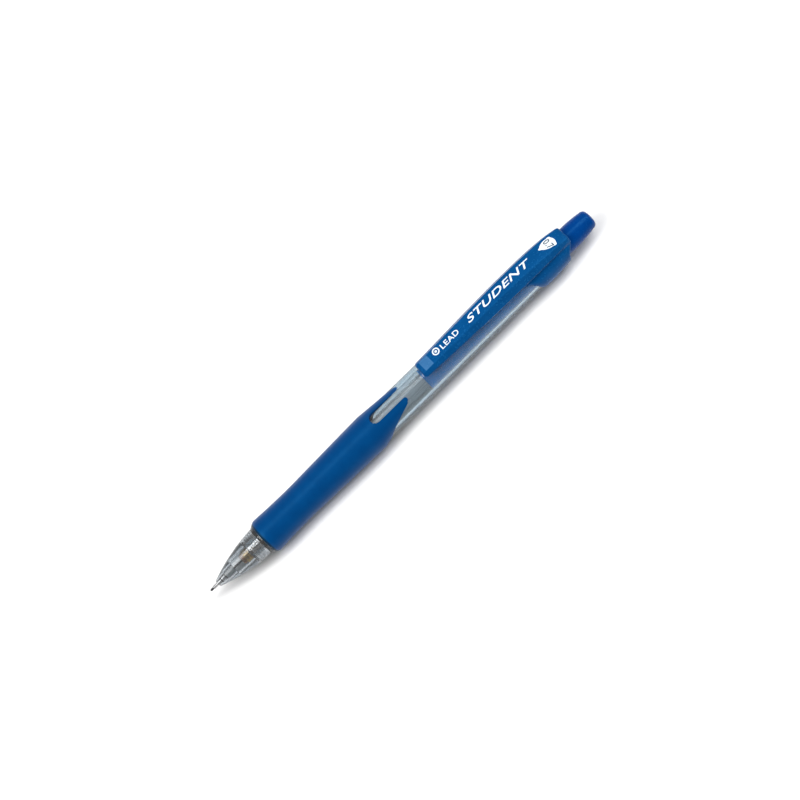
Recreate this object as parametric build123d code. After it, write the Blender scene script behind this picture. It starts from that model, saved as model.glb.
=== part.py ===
"""Mechanical pencil for 0.7 mm lead, in millimetres.

The pencil lies along X with its lead point at -X and its button at +X, and its clip is on top, at +Z.
Every piece is drawn about the X axis, by its stations: distances from the lead's point along the pencil.
export() then moves it so that the origin is under the pencil's middle, at its lowest level.
"""

import os
from math import cos, radians, sin

from build123d import *

# Overall
LENGTH = 146.0
GRIP_WIDEST_R = 5.66
FIT = 0.02  # radial gap between pieces that slide or turn in each other
ROOT_GAP = 0.05  # gap where a piece that bends is parted from what it grows out of
EDGE = 0.06  # broken edge of small turned pieces
CUT = 20.0  # larger than any piece across, for cutting solids
ABOVE_ALL = 10.0  # higher than any surface

# Lead
LEAD_R = 0.35
LEAD_LENGTH = 60.0
LEAD_POINT = 0.25  # length of the worn chamfer at the writing end
LEAD_POINT_R = 0.2
SPARE_START = 62.5
SPARE_ANGLES = (-32, 0, 32)  # where the spare leads lie, degrees round the floor of the magazine

# Nose cone and what is pressed in it
SLEEVE_FRONT = 1.2
SLEEVE_R = 0.525
SLEEVE_STEP = 2.8  # where it thickens, just ahead of the cone
SLEEVE_STEP_R = 0.72
SLEEVE_FLANGE_R = 0.9
SLEEVE_FLANGE_FRONT = 4.2
SLEEVE_REAR = 6.1
SLEEVE_FUNNEL = 0.8  # length of the funnel that leads a new lead in
SLEEVE_LIP = 0.15
CONE_FRONT = 2.85
CONE_FRONT_R = 0.98
CONE_MIDDLE = (10.4, 3.2)
CONE_REAR = 19.4
CONE_REAR_R = 4.44
RETAINER_FRONT = 6.15
RETAINER_REAR = 9.2
RETAINER_R = 1.2
RETAINER_MOUTH = (0.7, 0.3)  # length and depth of its countersunk rear mouth
JAW_ROOM_R = 1.85
RING_ROOM_FRONT = 12.6
RING_ROOM_R = 1.98
THREAD_BORE_R = 3.9

# Chuck: three jaws on a stem, closed by the clutch ring
JAW_FRONT = 12.2
JAW_FRONT_R = 1.25
JAW_SHOULDER = (12.5, 1.5)
JAW_WIDEST = 13.1
JAW_WIDEST_R = 1.55
JAW_TAPER_REAR = (15.3, 1.1)
JAW_NECK = (15.9, 1.05)
JAW_ROOT_R = 1.0
JAW_CHAMFER = 0.1
JAW_GRIP_REAR = 14.6
JAW_ROOT = 23.0
JAW_ARC = 112.0
JAW_AZIMUTHS = (0, 120, 240)
CHUCK_BORE_R = 0.5
CHUCK_REAR = 36.5
CHUCK_STEM_R = 1.0
CHUCK_BARB_R = 1.12
CHUCK_BARB_FRONT = 31.0
CHUCK_BARBS = 3
CHUCK_BARB_SLOPE = 0.8  # share of a barb's pitch that slopes
RING_FRONT = 13.3
RING_REAR = 15.2
RING_R = 1.9
RING_MOUTH_R = 1.56
RING_THROAT_R = 1.22
RING_THROAT = 14.9
RING_CHAMFER = 0.12

# Barrel
NECK_FRONT = 15.25
NECK_R = 3.5
NECK_GUIDE_R = 1.55
NECK_CHAMFER = 0.2
THREAD_R = 3.82
THREAD_FIRST = 16.0
THREAD_BASE = 0.3  # half the width of a ridge at its root
THREAD_CREST = 0.08  # and at its crest
THREAD_PITCH = 0.77
THREAD_TURNS = 4
FLANGE_FRONT = 19.45
FLANGE_R = 4.9
GRIP_FRONT = 20.4
GRIP_SEAT_R = 4.2
BARREL_R = 4.95
BARREL_REAR_R = 4.74
TAPER_FRONT = 66.0
TAPER_REAR = 116.0
BARREL_REAR = 128.0
SPRING_SEAT = 24.0
SPRING_ROOM_R = 2.75
SPRING_ROOM_REAR = 41.0
BARREL_BORE_R = 3.4

# Grip: outer outline from front to rear, as (station, radius)
GRIP_OUTLINE = ((21.6, 5.48), (27.0, 5.22), (34.0, 5.1), (46.6, 5.35), (62.0, GRIP_WIDEST_R))
GRIP_TIP = 75.4
GRIP_TIP_R = 5.0
# rear edge of the grip seen from the side, as (station, height above the axis), from below to the top
GRIP_REAR_EDGE = ((63.6, -6.5), (64.4, -3.5), (65.7, 0.0), (67.2, 1.46), (70.7, 2.96), (GRIP_TIP, 4.3))
SLOT_FRONT = 63.8
SLOT_HALF = 1.6

# Magazine and spring
CONNECTOR_FRONT = 30.0
CONNECTOR_NOSE_R = 1.6
CONNECTOR_NOSE_LEAD_IN = (0.4, 0.2)  # length and depth of the slope at its front
CONNECTOR_FLANGE = 36.0
CONNECTOR_FLANGE_R = 2.6
CONNECTOR_BOSS = 37.2
CONNECTOR_REAR = 44.0
CONNECTOR_FUNNEL = 3.0  # length of the funnel that guides a spare lead to the chuck
CONNECTOR_LIP = 0.25
TUBE_FRONT = 37.25
TUBE_REAR = 139.0
TUBE_R = 2.3
TUBE_BORE_R = 1.7
ERASER_FRONT = 131.0
ERASER_REAR = 143.0
ERASER_R = 1.68
ERASER_ROUND = 0.4
SPRING_WIRE_R = 0.2
SPRING_R = 2.2
SPRING_COILS = 11

# Upper body
SLEEVE_IN_FRONT = 82.3
SLEEVE_IN_REAR = 127.9
SLEEVE_IN_R = 3.3
SLEEVE_IN_BORE_R = 2.6
SLEEVE_IN_BAND = (102.6, 103.4)
SLEEVE_IN_BAND_R = 3.15
SLEEVE_IN_FLANGE_FRONT = 125.0
COLLAR_R = 5.28
COLLAR_BORE_R = 3.58
COLLAR_OUTLINE = ((116.0, COLLAR_R), (128.0, COLLAR_R), (131.0, 5.1), (133.4, 4.85), (136.0, 4.6))
COLLAR_END = (137.4, 4.1)
# front edge of the collar seen from the side, as (station, height above the axis), from below to the top
COLLAR_FRONT_EDGE = ((124.7, -6.5), (124.4, -2.2), (123.4, 1.64), (121.6, 3.7), (118.0, 5.2))
COLLAR_REAR_LOW = (134.3, -5.0)  # the slanted rear edge seen from the side, as (station, height)
COLLAR_REAR_HIGH = (137.3, 5.0)

# Clip: sections as (station, height of its face, half-width of its face, half-width of its foot)
CLIP_SECTIONS = (
    (83.0, 6.9, 1.9, 2.75),
    (90.0, 7.3, 1.9, 3.0),
    (103.5, 7.65, 2.0, 3.45),
    (116.0, 7.75, 2.2, 3.65),
    (125.0, 7.2, 2.3, 3.6),
    (132.0, 6.1, 2.4, 3.4),
    (137.2, 4.9, 2.3, 3.0),
)
CLIP_FOOT = 5.65  # height of the arm's underside above the axis
CLIP_EDGE_DROP = 0.8  # least height of the sloped sides below the face
CLIP_WEB_BOTTOM = 2.9  # the bar reaches down to here before the barrel is cut out of it
CLIP_ROOT = 103.5
CLIP_PAD = (84.6, 87.6)
CLIP_PAD_FOOT = 5.02
CLIP_PAD_HALF = 1.3
CLIP_PAD_ROUND = 0.5

# Button
BUTTON_FRONT = 131.5
BUTTON_R = 3.49
BUTTON_STRAIGHT_REAR = 138.6
BUTTON_SHOULDER = (142.4, 3.26)
BUTTON_EDGE = (144.6, 2.93)
BUTTON_ROUND = (145.6, 2.55)
BUTTON_FACE_R = 1.9
BUTTON_ROOF = 143.5
BUTTON_MOUTH = (0.4, 0.3)  # length and depth of the countersunk mouth of its bore


def outline(*corners):
    """Closed face with straight sides from (station, radius) corners, in the XY plane."""
    return make_face(Polyline(*corners, close=True))


def turned(face):
    """Solid of revolution about the pencil's axis."""
    return revolve(face, Axis.X)


def tube(front, rear, outer, inner):
    """Plain round tube between two stations."""
    return turned(outline((front, inner), (front, outer), (rear, outer), (rear, inner)))


def rod(front, rear, radius):
    """Plain round rod between two stations."""
    return turned(outline((front, 0), (front, radius), (rear, radius), (rear, 0)))


def side_prism(face):
    """A face drawn as (station, height), extruded across the pencil both ways."""
    return extrude(Plane.XZ * face, CUT / 2, both=True)


def export(shape, node):
    """Write one node's solid or group of solids, moved into the pencil's own frame."""
    export_step(Pos(-LENGTH / 2, 0, GRIP_WIDEST_R) * shape, f"parts/{node}.step")


def lead():
    return turned(
        outline(
            (0, 0),
            (0, LEAD_POINT_R),
            (LEAD_POINT, LEAD_R),
            (LEAD_LENGTH, LEAD_R),
            (LEAD_LENGTH, 0),
        )
    )


def spare_leads():
    """Three loose leads side by side on the floor of the lead tube."""
    reach = TUBE_BORE_R - LEAD_R - FIT
    one = rod(SPARE_START, SPARE_START + LEAD_LENGTH, LEAD_R)
    return Compound(
        children=[
            Pos(0, reach * sin(radians(a)), -reach * cos(radians(a))) * one for a in SPARE_ANGLES
        ]
    )


def lead_sleeve():
    """Steel guide tube with a flanged, funnelled rear end."""
    bore = LEAD_R + FIT
    return turned(
        outline(
            (SLEEVE_FRONT, bore),
            (SLEEVE_FRONT, SLEEVE_R - EDGE),
            (SLEEVE_FRONT + EDGE, SLEEVE_R),
            (SLEEVE_STEP, SLEEVE_R),
            (SLEEVE_STEP, SLEEVE_STEP_R),
            (SLEEVE_FLANGE_FRONT, SLEEVE_STEP_R),
            (SLEEVE_FLANGE_FRONT, SLEEVE_FLANGE_R),
            (SLEEVE_REAR, SLEEVE_FLANGE_R),
            (SLEEVE_REAR, SLEEVE_FLANGE_R - SLEEVE_LIP),
            (SLEEVE_REAR - SLEEVE_FUNNEL, bore),
        )
    )


def lead_retainer():
    """Rubber bush that holds the lead by friction."""
    bore = LEAD_R + FIT / 2
    mouth_length, mouth_depth = RETAINER_MOUTH
    return turned(
        outline(
            (RETAINER_FRONT, bore),
            (RETAINER_FRONT, RETAINER_R),
            (RETAINER_REAR, RETAINER_R),
            (RETAINER_REAR, bore + mouth_depth),
            (RETAINER_REAR - mouth_length, bore),
        )
    )


def nose_cone():
    """Clear cone: an ogive outside, stepped inside for the sleeve, bush, jaws, ring and thread."""
    outer = make_face(
        Polyline((CONE_REAR, CONE_REAR_R), (CONE_REAR, 0), (CONE_FRONT, 0), (CONE_FRONT, CONE_FRONT_R))
        + ThreePointArc((CONE_FRONT, CONE_FRONT_R), CONE_MIDDLE, (CONE_REAR, CONE_REAR_R))
    )
    steps = (
        (CONE_FRONT, SLEEVE_FLANGE_FRONT - FIT, SLEEVE_STEP_R + FIT),
        (SLEEVE_FLANGE_FRONT - FIT, RETAINER_FRONT, SLEEVE_FLANGE_R + FIT),
        (RETAINER_FRONT - FIT, RETAINER_REAR, RETAINER_R + FIT),
        (RETAINER_REAR, RING_ROOM_FRONT, JAW_ROOM_R),
        (RING_ROOM_FRONT, NECK_FRONT - FIT, RING_ROOM_R),
        (NECK_FRONT - FIT, CONE_REAR, THREAD_BORE_R),
    )
    cone = turned(outer)
    for front, rear, radius in steps:
        cone -= rod(front, rear, radius)
    return cone


def clutch_ring():
    """Ring with a tapered mouth that squeezes the jaws shut."""
    return turned(
        outline(
            (RING_FRONT, RING_MOUTH_R),
            (RING_FRONT, RING_R - RING_CHAMFER),
            (RING_FRONT + RING_CHAMFER, RING_R),
            (RING_REAR, RING_R),
            (RING_REAR, RING_THROAT_R),
            (RING_THROAT, RING_THROAT_R),
        )
    )


def chuck_jaw():
    """One jaw, centred on +Z: a tapered head on a springy strip."""
    grip = LEAD_R + FIT / 2
    section = outline(
        (JAW_FRONT, grip + JAW_CHAMFER),
        (JAW_FRONT, JAW_FRONT_R),
        JAW_SHOULDER,
        (JAW_WIDEST, JAW_WIDEST_R),
        JAW_TAPER_REAR,
        JAW_NECK,
        (JAW_ROOT, JAW_ROOT_R),
        (JAW_ROOT, CHUCK_BORE_R),
        (JAW_GRIP_REAR, CHUCK_BORE_R),
        (JAW_GRIP_REAR - JAW_CHAMFER, grip),
        (JAW_FRONT + JAW_CHAMFER, grip),
    )
    return Rot(90 - JAW_ARC / 2, 0, 0) * revolve(section, Axis.X, revolution_arc=JAW_ARC)


def chuck_body():
    """Stem of the chuck, with three barbs that bite in the connector."""
    points = [(JAW_ROOT + ROOT_GAP, CHUCK_BORE_R), (JAW_ROOT + ROOT_GAP, CHUCK_STEM_R)]
    pitch = (CHUCK_REAR - CHUCK_BARB_FRONT) / CHUCK_BARBS
    slope = CHUCK_BARB_SLOPE * pitch
    for n in range(CHUCK_BARBS):
        front = CHUCK_BARB_FRONT + n * pitch
        points += [(front, CHUCK_STEM_R), (front, CHUCK_BARB_R), (front + slope, CHUCK_STEM_R)]
    return turned(outline(*points, (CHUCK_REAR, CHUCK_STEM_R), (CHUCK_REAR, CHUCK_BORE_R)))


def chuck_connector():
    """Moulded joint between the chuck and the lead tube, with the flange that the spring pushes."""
    boss = TUBE_BORE_R - FIT
    slope_length, slope_depth = CONNECTOR_NOSE_LEAD_IN
    return turned(
        outline(
            (CONNECTOR_FRONT, CHUCK_BARB_R),
            (CONNECTOR_FRONT, CONNECTOR_NOSE_R - slope_depth),
            (CONNECTOR_FRONT + slope_length, CONNECTOR_NOSE_R),
            (CONNECTOR_FLANGE, CONNECTOR_NOSE_R),
            (CONNECTOR_FLANGE, CONNECTOR_FLANGE_R),
            (CONNECTOR_BOSS, CONNECTOR_FLANGE_R),
            (CONNECTOR_BOSS, boss),
            (CONNECTOR_REAR, boss),
            (CONNECTOR_REAR, boss - CONNECTOR_LIP),
            (CONNECTOR_REAR - CONNECTOR_FUNNEL, CHUCK_BORE_R),
            (CHUCK_REAR, CHUCK_BORE_R),
            (CHUCK_REAR, CHUCK_BARB_R),
        )
    )


def spring():
    """Open coil spring between the barrel's shoulder and the connector's flange."""
    ends = SPRING_WIRE_R + 2 * FIT
    length = CONNECTOR_FLANGE - SPRING_SEAT - 2 * ends
    path = Helix(
        pitch=length / SPRING_COILS,
        height=length,
        radius=SPRING_R,
        center=(SPRING_SEAT + ends, 0, 0),
        direction=(1, 0, 0),
    )
    wire = Plane(origin=path @ 0, z_dir=path % 0) * Circle(SPRING_WIRE_R)
    return sweep(wire, path=path, is_frenet=True)


def lead_tube():
    return tube(TUBE_FRONT, TUBE_REAR, TUBE_R, TUBE_BORE_R)


def eraser():
    """Eraser plug with a rounded end."""
    plug = rod(ERASER_FRONT, ERASER_REAR, ERASER_R)
    return fillet(plug.edges().sort_by(Axis.X)[-1], ERASER_ROUND)


def barrel_outside():
    """Outer form of the barrel without its thread or the grip's seat, as a full solid."""
    return turned(
        outline(
            (FLANGE_FRONT, 0),
            (FLANGE_FRONT, CONE_REAR_R),
            (GRIP_FRONT, FLANGE_R),
            (GRIP_FRONT, BARREL_R),
            (TAPER_FRONT, BARREL_R),
            (TAPER_REAR, BARREL_REAR_R),
            (BARREL_REAR, BARREL_REAR_R),
            (BARREL_REAR, 0),
        )
    )


def threaded_neck():
    """Neck that the cone screws onto. Its thread is drawn as separate ridges."""
    points = [(NECK_FRONT, 0), (NECK_FRONT, NECK_R - NECK_CHAMFER), (NECK_FRONT + NECK_CHAMFER, NECK_R)]
    for n in range(THREAD_TURNS):
        crest = THREAD_FIRST + n * THREAD_PITCH
        points += [
            (crest - THREAD_BASE, NECK_R),
            (crest - THREAD_CREST, THREAD_R),
            (crest + THREAD_CREST, THREAD_R),
            (crest + THREAD_BASE, NECK_R),
        ]
    return turned(outline(*points, (FLANGE_FRONT, NECK_R), (FLANGE_FRONT, 0)))


def grip_room():
    """Everything outside the grip's seat within the grip's footprint: its rear edge and its slot."""
    rear_low, rear_high = GRIP_REAR_EDGE[0], GRIP_REAR_EDGE[-1]
    side = make_face(
        Spline(*GRIP_REAR_EDGE)
        + Polyline(
            rear_high,
            (GRIP_TIP, ABOVE_ALL),
            (GRIP_FRONT, ABOVE_ALL),
            (GRIP_FRONT, rear_low[1]),
            rear_low,
        )
    )
    slot_length = GRIP_TIP - SLOT_FRONT + CUT
    slot_plan = Pos(SLOT_FRONT + slot_length / 2, 0, 0) * SlotOverall(slot_length, 2 * SLOT_HALF)
    slot = extrude(slot_plan, ABOVE_ALL)
    return side_prism(side) - slot - rod(GRIP_FRONT, GRIP_TIP, GRIP_SEAT_R)


def grip():
    """Soft rubber sleeve: waisted in the middle, widest at its rear, and forked below the clip."""
    front, rear = GRIP_OUTLINE[0], GRIP_OUTLINE[-1]
    section = make_face(
        Polyline((GRIP_TIP, GRIP_TIP_R), (GRIP_TIP, 0), (GRIP_FRONT, 0), (GRIP_FRONT, FLANGE_R), front)
        + Spline(*GRIP_OUTLINE)
        + Line(rear, (GRIP_TIP, GRIP_TIP_R))
    )
    return turned(section) & grip_room()


def barrel():
    """Clear body, cut away where the grip sits, with a stepped bore."""
    body = barrel_outside() - grip_room() + threaded_neck()
    body -= rod(NECK_FRONT, SPRING_SEAT, NECK_GUIDE_R)
    body -= rod(SPRING_SEAT, SPRING_ROOM_REAR, SPRING_ROOM_R)
    return body - rod(SPRING_ROOM_REAR, BARREL_REAR, BARREL_BORE_R)


def inner_sleeve():
    """Coloured tube in the rear half of the barrel, with a shallow band and a tight rear end."""
    band_front, band_rear = SLEEVE_IN_BAND
    return turned(
        outline(
            (SLEEVE_IN_FRONT, SLEEVE_IN_BORE_R),
            (SLEEVE_IN_FRONT, SLEEVE_IN_R),
            (band_front, SLEEVE_IN_R),
            (band_front, SLEEVE_IN_BAND_R),
            (band_rear, SLEEVE_IN_BAND_R),
            (band_rear, SLEEVE_IN_R),
            (SLEEVE_IN_FLANGE_FRONT, SLEEVE_IN_R),
            (SLEEVE_IN_FLANGE_FRONT, BARREL_BORE_R),
            (SLEEVE_IN_REAR, BARREL_BORE_R),
            (SLEEVE_IN_REAR, SLEEVE_IN_BORE_R),
        )
    )


def clip_bar():
    """The whole clip as one drafted bar from its tip to the rear of the collar."""
    sections = []
    for station, face_height, face_half, foot_half in CLIP_SECTIONS:
        edge_height = min(CLIP_FOOT, face_height - CLIP_EDGE_DROP)
        corners = (
            (foot_half, CLIP_WEB_BOTTOM),
            (foot_half, edge_height),
            (face_half, face_height),
            (-face_half, face_height),
            (-foot_half, edge_height),
            (-foot_half, CLIP_WEB_BOTTOM),
        )
        plane = Plane(origin=(station, 0, 0), x_dir=(0, 1, 0), z_dir=(1, 0, 0))
        sections.append(plane * make_face(Polyline(*corners, close=True)))
    return loft(sections, ruled=True)


def clip_collar():
    """Collar over the barrel's rear end, with the web that the clip's arm grows out of."""
    ring = turned(
        outline(
            (COLLAR_OUTLINE[0][0], 0),
            *COLLAR_OUTLINE,
            COLLAR_END,
            (COLLAR_END[0], 0),
        )
    )
    front_low, front_high = COLLAR_FRONT_EDGE[0], COLLAR_FRONT_EDGE[-1]
    ring &= side_prism(
        make_face(
            Spline(*COLLAR_FRONT_EDGE)
            + Polyline(
                front_high,
                (front_high[0], ABOVE_ALL),
                (COLLAR_REAR_HIGH[0], ABOVE_ALL),
                COLLAR_REAR_HIGH,
                COLLAR_REAR_LOW,
                (COLLAR_REAR_LOW[0], front_low[1]),
                front_low,
            )
        )
    )
    free_part = Box(CLIP_ROOT + ROOT_GAP, CUT, CUT, align=(Align.MIN, Align.CENTER, Align.CENTER))
    web = clip_bar() - free_part
    collar = ring + web
    collar -= barrel_outside()
    return collar - rod(SLEEVE_IN_FLANGE_FRONT, LENGTH, COLLAR_BORE_R)


def clip_arm():
    """Free front part of the clip, with the pad under its tip that presses on the pocket."""
    upper = (Align.MIN, Align.CENTER, Align.MIN)
    arm = clip_bar() & (Pos(0, 0, CLIP_FOOT) * Box(CLIP_ROOT, CUT, CUT, align=upper))
    pad_front, pad_rear = CLIP_PAD
    pad_size = (pad_rear - pad_front, 2 * CLIP_PAD_HALF, CLIP_FOOT - CLIP_PAD_FOOT + ROOT_GAP)
    pad = Pos(pad_front, 0, CLIP_PAD_FOOT) * Box(*pad_size, align=upper)
    return arm + fillet(pad.edges().group_by(Axis.Z)[0].filter_by(Axis.Y), CLIP_PAD_ROUND)


def button_cap():
    """Push button: a hollow cap over the lead tube's rear end."""
    mouth_length, mouth_depth = BUTTON_MOUTH
    section = make_face(
        Polyline(
            (LENGTH, BUTTON_FACE_R),
            (LENGTH, 0),
            (BUTTON_ROOF, 0),
            (BUTTON_ROOF, TUBE_R + FIT),
            (BUTTON_FRONT + mouth_length, TUBE_R + FIT),
            (BUTTON_FRONT, TUBE_R + FIT + mouth_depth),
            (BUTTON_FRONT, BUTTON_R),
            (BUTTON_STRAIGHT_REAR, BUTTON_R),
        )
        + ThreePointArc((BUTTON_STRAIGHT_REAR, BUTTON_R), BUTTON_SHOULDER, BUTTON_EDGE)
        + ThreePointArc(BUTTON_EDGE, BUTTON_ROUND, (LENGTH, BUTTON_FACE_R))
    )
    return turned(section)


os.makedirs("parts", exist_ok=True)

PIECES = (
    lead,
    spare_leads,
    lead_sleeve,
    lead_retainer,
    nose_cone,
    clutch_ring,
    chuck_body,
    chuck_connector,
    spring,
    lead_tube,
    eraser,
    barrel,
    grip,
    inner_sleeve,
    clip_collar,
    clip_arm,
    button_cap,
)
for piece in PIECES:
    export(piece(), piece.__name__)
for number, azimuth in enumerate(JAW_AZIMUTHS, start=1):
    export(Rot(azimuth, 0, 0) * chuck_jaw(), f"chuck_jaw_{number}")
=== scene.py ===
"""Looks of the mechanical pencil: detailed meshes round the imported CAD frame, materials, light and camera.

Pieces are drawn by station, the distance in mm from the lead's point along the pencil, and by radius, width
or height from the pencil's axis, also in mm. place() turns these into the frame's metres.
"""

import math

import bmesh
import bpy
from mathutils import Matrix, Vector


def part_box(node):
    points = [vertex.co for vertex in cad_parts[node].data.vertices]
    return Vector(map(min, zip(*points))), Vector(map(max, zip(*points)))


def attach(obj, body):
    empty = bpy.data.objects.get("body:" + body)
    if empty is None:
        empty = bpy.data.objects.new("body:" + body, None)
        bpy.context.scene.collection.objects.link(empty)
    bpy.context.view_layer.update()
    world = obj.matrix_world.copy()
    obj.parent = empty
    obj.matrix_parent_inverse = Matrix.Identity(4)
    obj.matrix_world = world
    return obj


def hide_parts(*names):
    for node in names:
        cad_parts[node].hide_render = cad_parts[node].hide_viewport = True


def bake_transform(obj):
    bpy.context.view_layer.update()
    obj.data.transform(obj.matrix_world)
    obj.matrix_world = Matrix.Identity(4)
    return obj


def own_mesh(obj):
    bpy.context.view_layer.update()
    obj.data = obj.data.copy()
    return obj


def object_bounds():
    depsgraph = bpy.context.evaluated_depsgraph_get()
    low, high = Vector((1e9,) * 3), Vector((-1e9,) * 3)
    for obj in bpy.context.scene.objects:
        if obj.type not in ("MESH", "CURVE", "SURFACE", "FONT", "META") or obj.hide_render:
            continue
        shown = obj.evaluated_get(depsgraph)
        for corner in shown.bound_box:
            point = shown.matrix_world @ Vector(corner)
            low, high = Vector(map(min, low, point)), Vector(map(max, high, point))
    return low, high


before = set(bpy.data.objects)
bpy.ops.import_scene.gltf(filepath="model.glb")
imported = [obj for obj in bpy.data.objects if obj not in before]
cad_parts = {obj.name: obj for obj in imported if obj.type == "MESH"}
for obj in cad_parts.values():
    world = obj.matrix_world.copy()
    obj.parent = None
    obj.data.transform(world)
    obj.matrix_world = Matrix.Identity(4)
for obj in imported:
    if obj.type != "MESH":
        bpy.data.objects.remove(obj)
cad_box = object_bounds()

MM = 0.001
TIP_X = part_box("lead")[0].x
AXIS_Z = (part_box("barrel")[0].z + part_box("barrel")[1].z) / 2
ROUND = 128  # segments round a turned piece
SHARP = math.radians(35)


def place(station, across, up):
    """Point of the frame, in metres, from a station and distances from the axis in mm."""
    return Vector((TIP_X + station * MM, across * MM, AXIS_Z + up * MM))


def extent(node):
    """Front station, rear station and greatest radius of a CAD node, in mm."""
    low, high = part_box(node)
    return (low.x - TIP_X) / MM, (high.x - TIP_X) / MM, (high.y - low.y) / 2 / MM


# ---------------------------------------------------------------- meshes


def finish_mesh(name, points, faces, material, body, nodes=()):
    """Make a piece from points in frame metres, ride it on its body and let it stand for CAD nodes."""
    mesh = bpy.data.meshes.new(name)
    mesh.from_pydata([tuple(p) for p in points], [], faces)
    mesh.validate()
    piece = bpy.data.objects.new(name, mesh)
    bpy.context.scene.collection.objects.link(piece)
    mesh.shade_smooth()
    mesh.set_sharp_from_angle(angle=SHARP)
    weigh = piece.modifiers.new("weighted_normals", "WEIGHTED_NORMAL")
    weigh.keep_sharp = True
    mesh.materials.append(material)
    if body:
        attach(piece, body)
    if nodes:
        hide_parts(*nodes)
    return piece


def outward(name):
    """Turn a closed piece's faces so that they all point out."""

    mesh = bpy.data.objects[name].data
    work = bmesh.new()
    work.from_mesh(mesh)
    bmesh.ops.recalc_face_normals(work, faces=work.faces)
    if work.calc_volume(signed=True) < 0:
        bmesh.ops.reverse_faces(work, faces=work.faces)
    work.to_mesh(mesh)
    work.free()


def arc(start, middle, end, count):
    """Points of the circular arc through three points, without its start."""
    (ax, ay), (bx, by), (cx, cy) = start, middle, end
    d = 2 * (ax * (by - cy) + bx * (cy - ay) + cx * (ay - by))
    a2, b2, c2 = ax * ax + ay * ay, bx * bx + by * by, cx * cx + cy * cy
    ux = (a2 * (by - cy) + b2 * (cy - ay) + c2 * (ay - by)) / d
    uy = (a2 * (cx - bx) + b2 * (ax - cx) + c2 * (bx - ax)) / d
    radius = math.hypot(ax - ux, ay - uy)
    first, via, last = (math.atan2(y - uy, x - ux) for x, y in (start, middle, end))
    turn = 2 * math.pi
    if (via - first) % turn > (last - first) % turn:
        sweep = -((first - last) % turn)
    else:
        sweep = (last - first) % turn
    angles = [first + sweep * n / count for n in range(1, count + 1)]
    return [(ux + radius * math.cos(a), uy + radius * math.sin(a)) for a in angles]


def rounded(corners, steps=5):
    """Outline from corners (station, radius, fillet): each corner with a fillet becomes a short curve."""
    out = []
    total = len(corners)
    for n, corner in enumerate(corners):
        here = Vector(corner[:2])
        fillet = corner[2] if len(corner) > 2 else 0
        if not fillet:
            out.append(tuple(here))
            continue
        before, after = Vector(corners[n - 1][:2]), Vector(corners[(n + 1) % total][:2])
        back, on = (before - here), (after - here)
        reach = min(fillet, 0.45 * back.length, 0.45 * on.length)
        start, end = here + back.normalized() * reach, here + on.normalized() * reach
        for k in range(steps + 1):
            t = k / steps
            out.append(tuple(start * (1 - t) ** 2 + here * 2 * t * (1 - t) + end * t * t))
    return out


def lathe(name, profile, material, body, slot, nodes=(), relief=None, segments=ROUND):
    """Turned piece from a closed profile of (station, radius) points. relief(station, radius, angle) gives
    a point's own radius where the piece isn't quite round."""
    points, rings = [], []
    for station, radius in profile:
        if radius < 1e-6:
            points.append(place(station, 0, 0))
            rings.append([len(points) - 1] * segments)
            continue
        ring = []
        for k in range(segments):
            angle = 2 * math.pi * k / segments
            r = relief(station, radius, angle) if relief else radius
            points.append(place(station, r * math.sin(angle), r * math.cos(angle)))
            ring.append(len(points) - 1)
        rings.append(ring)
    faces = []
    for n, ring in enumerate(rings):
        after = rings[(n + 1) % len(rings)]
        if ring[0] == ring[1] and after[0] == after[1]:
            continue
        for k in range(segments):
            m = (k + 1) % segments
            corners = (ring[k], ring[m], after[m], after[k])
            faces.append(tuple(dict.fromkeys(corners)))
    piece = finish_mesh(name, points, faces, material, body, nodes)
    outward(name)
    return piece


def second_material(piece, material, bands):
    """Give the faces between these pairs of stations another material."""
    piece.data.materials.append(material)
    for face in piece.data.polygons:
        station = (face.center.x - TIP_X) / MM
        if any(start <= station <= end for start, end in bands):
            face.material_index = 1


def curve_through(pairs):
    """Smooth function through (x, value) pairs, flat beyond both ends."""
    xs = [p[0] for p in pairs]
    ys = [p[1] for p in pairs]
    slopes = [(b - a) / (d - c) for a, b, c, d in zip(ys, ys[1:], xs, xs[1:])]
    tangents = [slopes[0]]
    for a, b in zip(slopes, slopes[1:]):
        tangents.append(0.0 if a * b <= 0 else 2 * a * b / (a + b))
    tangents.append(slopes[-1])

    def value(x):
        if x <= xs[0]:
            return ys[0]
        if x >= xs[-1]:
            return ys[-1]
        n = next(i for i in range(len(xs) - 1) if x <= xs[i + 1])
        h = xs[n + 1] - xs[n]
        t = (x - xs[n]) / h
        return (
            ys[n] * (2 * t**3 - 3 * t**2 + 1)
            + tangents[n] * h * (t**3 - 2 * t**2 + t)
            + ys[n + 1] * (3 * t**2 - 2 * t**3)
            + tangents[n + 1] * h * (t**3 - t**2)
        )

    return value


def spread(first, last, count):
    """Evenly spaced numbers from first to last, both included."""
    return [first + (last - first) * n / (count - 1) for n in range(count)]


def smooth(t):
    """Smooth step from 0 to 1."""
    t = min(1.0, max(0.0, t))
    return t * t * (3 - 2 * t)


# ---------------------------------------------------------------- materials


def rgb(red, green, blue):
    """Linear colour from the screen's 0 to 255 values."""
    def linear(v):
        v /= 255
        return v / 12.92 if v <= 0.04045 else ((v + 0.055) / 1.055) ** 2.4

    return (linear(red), linear(green), linear(blue), 1.0)


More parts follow.
